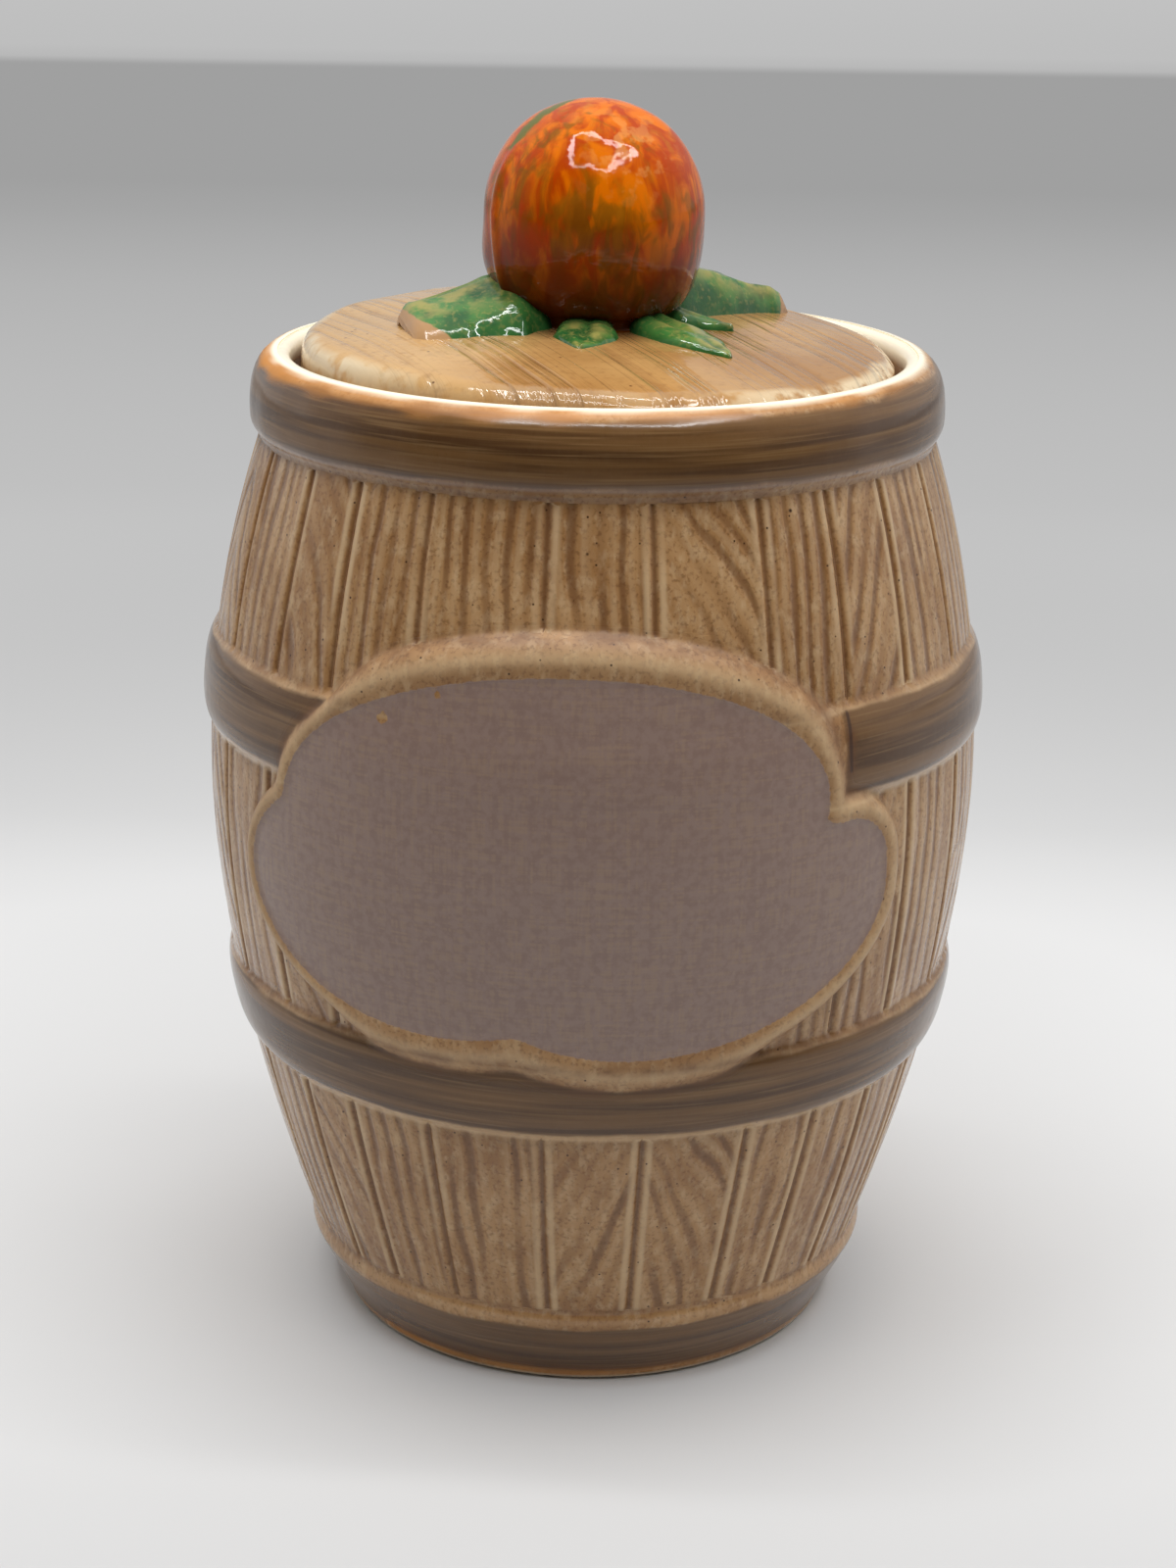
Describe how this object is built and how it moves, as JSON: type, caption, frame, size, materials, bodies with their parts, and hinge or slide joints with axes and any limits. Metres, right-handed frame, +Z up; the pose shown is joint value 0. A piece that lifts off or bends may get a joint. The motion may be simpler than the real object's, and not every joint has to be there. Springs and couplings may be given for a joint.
{
  "type": "marmalade jar",
  "caption": "Glazed earthenware preserve jar shaped like a hooped barrel, with a raised bare label and a lift-off lid carrying an orange knob and leaves.",
  "frame": {"origin": "centre of the foot ring, on the surface that the jar stands on", "axes": "+Z up along the barrel's axis, -Y out of the middle of the label, +X to the right of someone who faces the label"},
  "size_m": [0.1044, 0.1054, 0.1648],
  "materials": {
    "tan_glaze": "glossy tan glaze that pools brown in the grooves",
    "hoop_glaze": "glossy brown glaze with brush streaks",
    "label_print": "glossy lavender-grey label ground",
    "lid_glaze": "glossy honey glaze over wood grain",
    "orange_glaze": "high-gloss orange glaze with olive strokes",
    "leaf_glaze": "high-gloss green glaze"
  },
  "bodies": {
    "jar": {"barrel_body": "tan_glaze", "rim_hoop": "hoop_glaze", "upper_hoop": "hoop_glaze", "lower_hoop": "hoop_glaze", "foot_hoop": "hoop_glaze", "label_plaque": "tan_glaze", "label_panel": "label_print"},
    "lid": {"lid_plate": "lid_glaze", "orange_knob": "orange_glaze", "left_leaf": "leaf_glaze", "front_leaf": "leaf_glaze", "front_right_leaf": "leaf_glaze", "side_leaf": "leaf_glaze", "right_leaf": "leaf_glaze"}
  },
  "joints": [
    {"name": "lid_lift", "type": "slide", "parent": "jar", "child": "lid", "axis": [0, 0, 1], "range_m": [0, 0.08]}
  ]
}
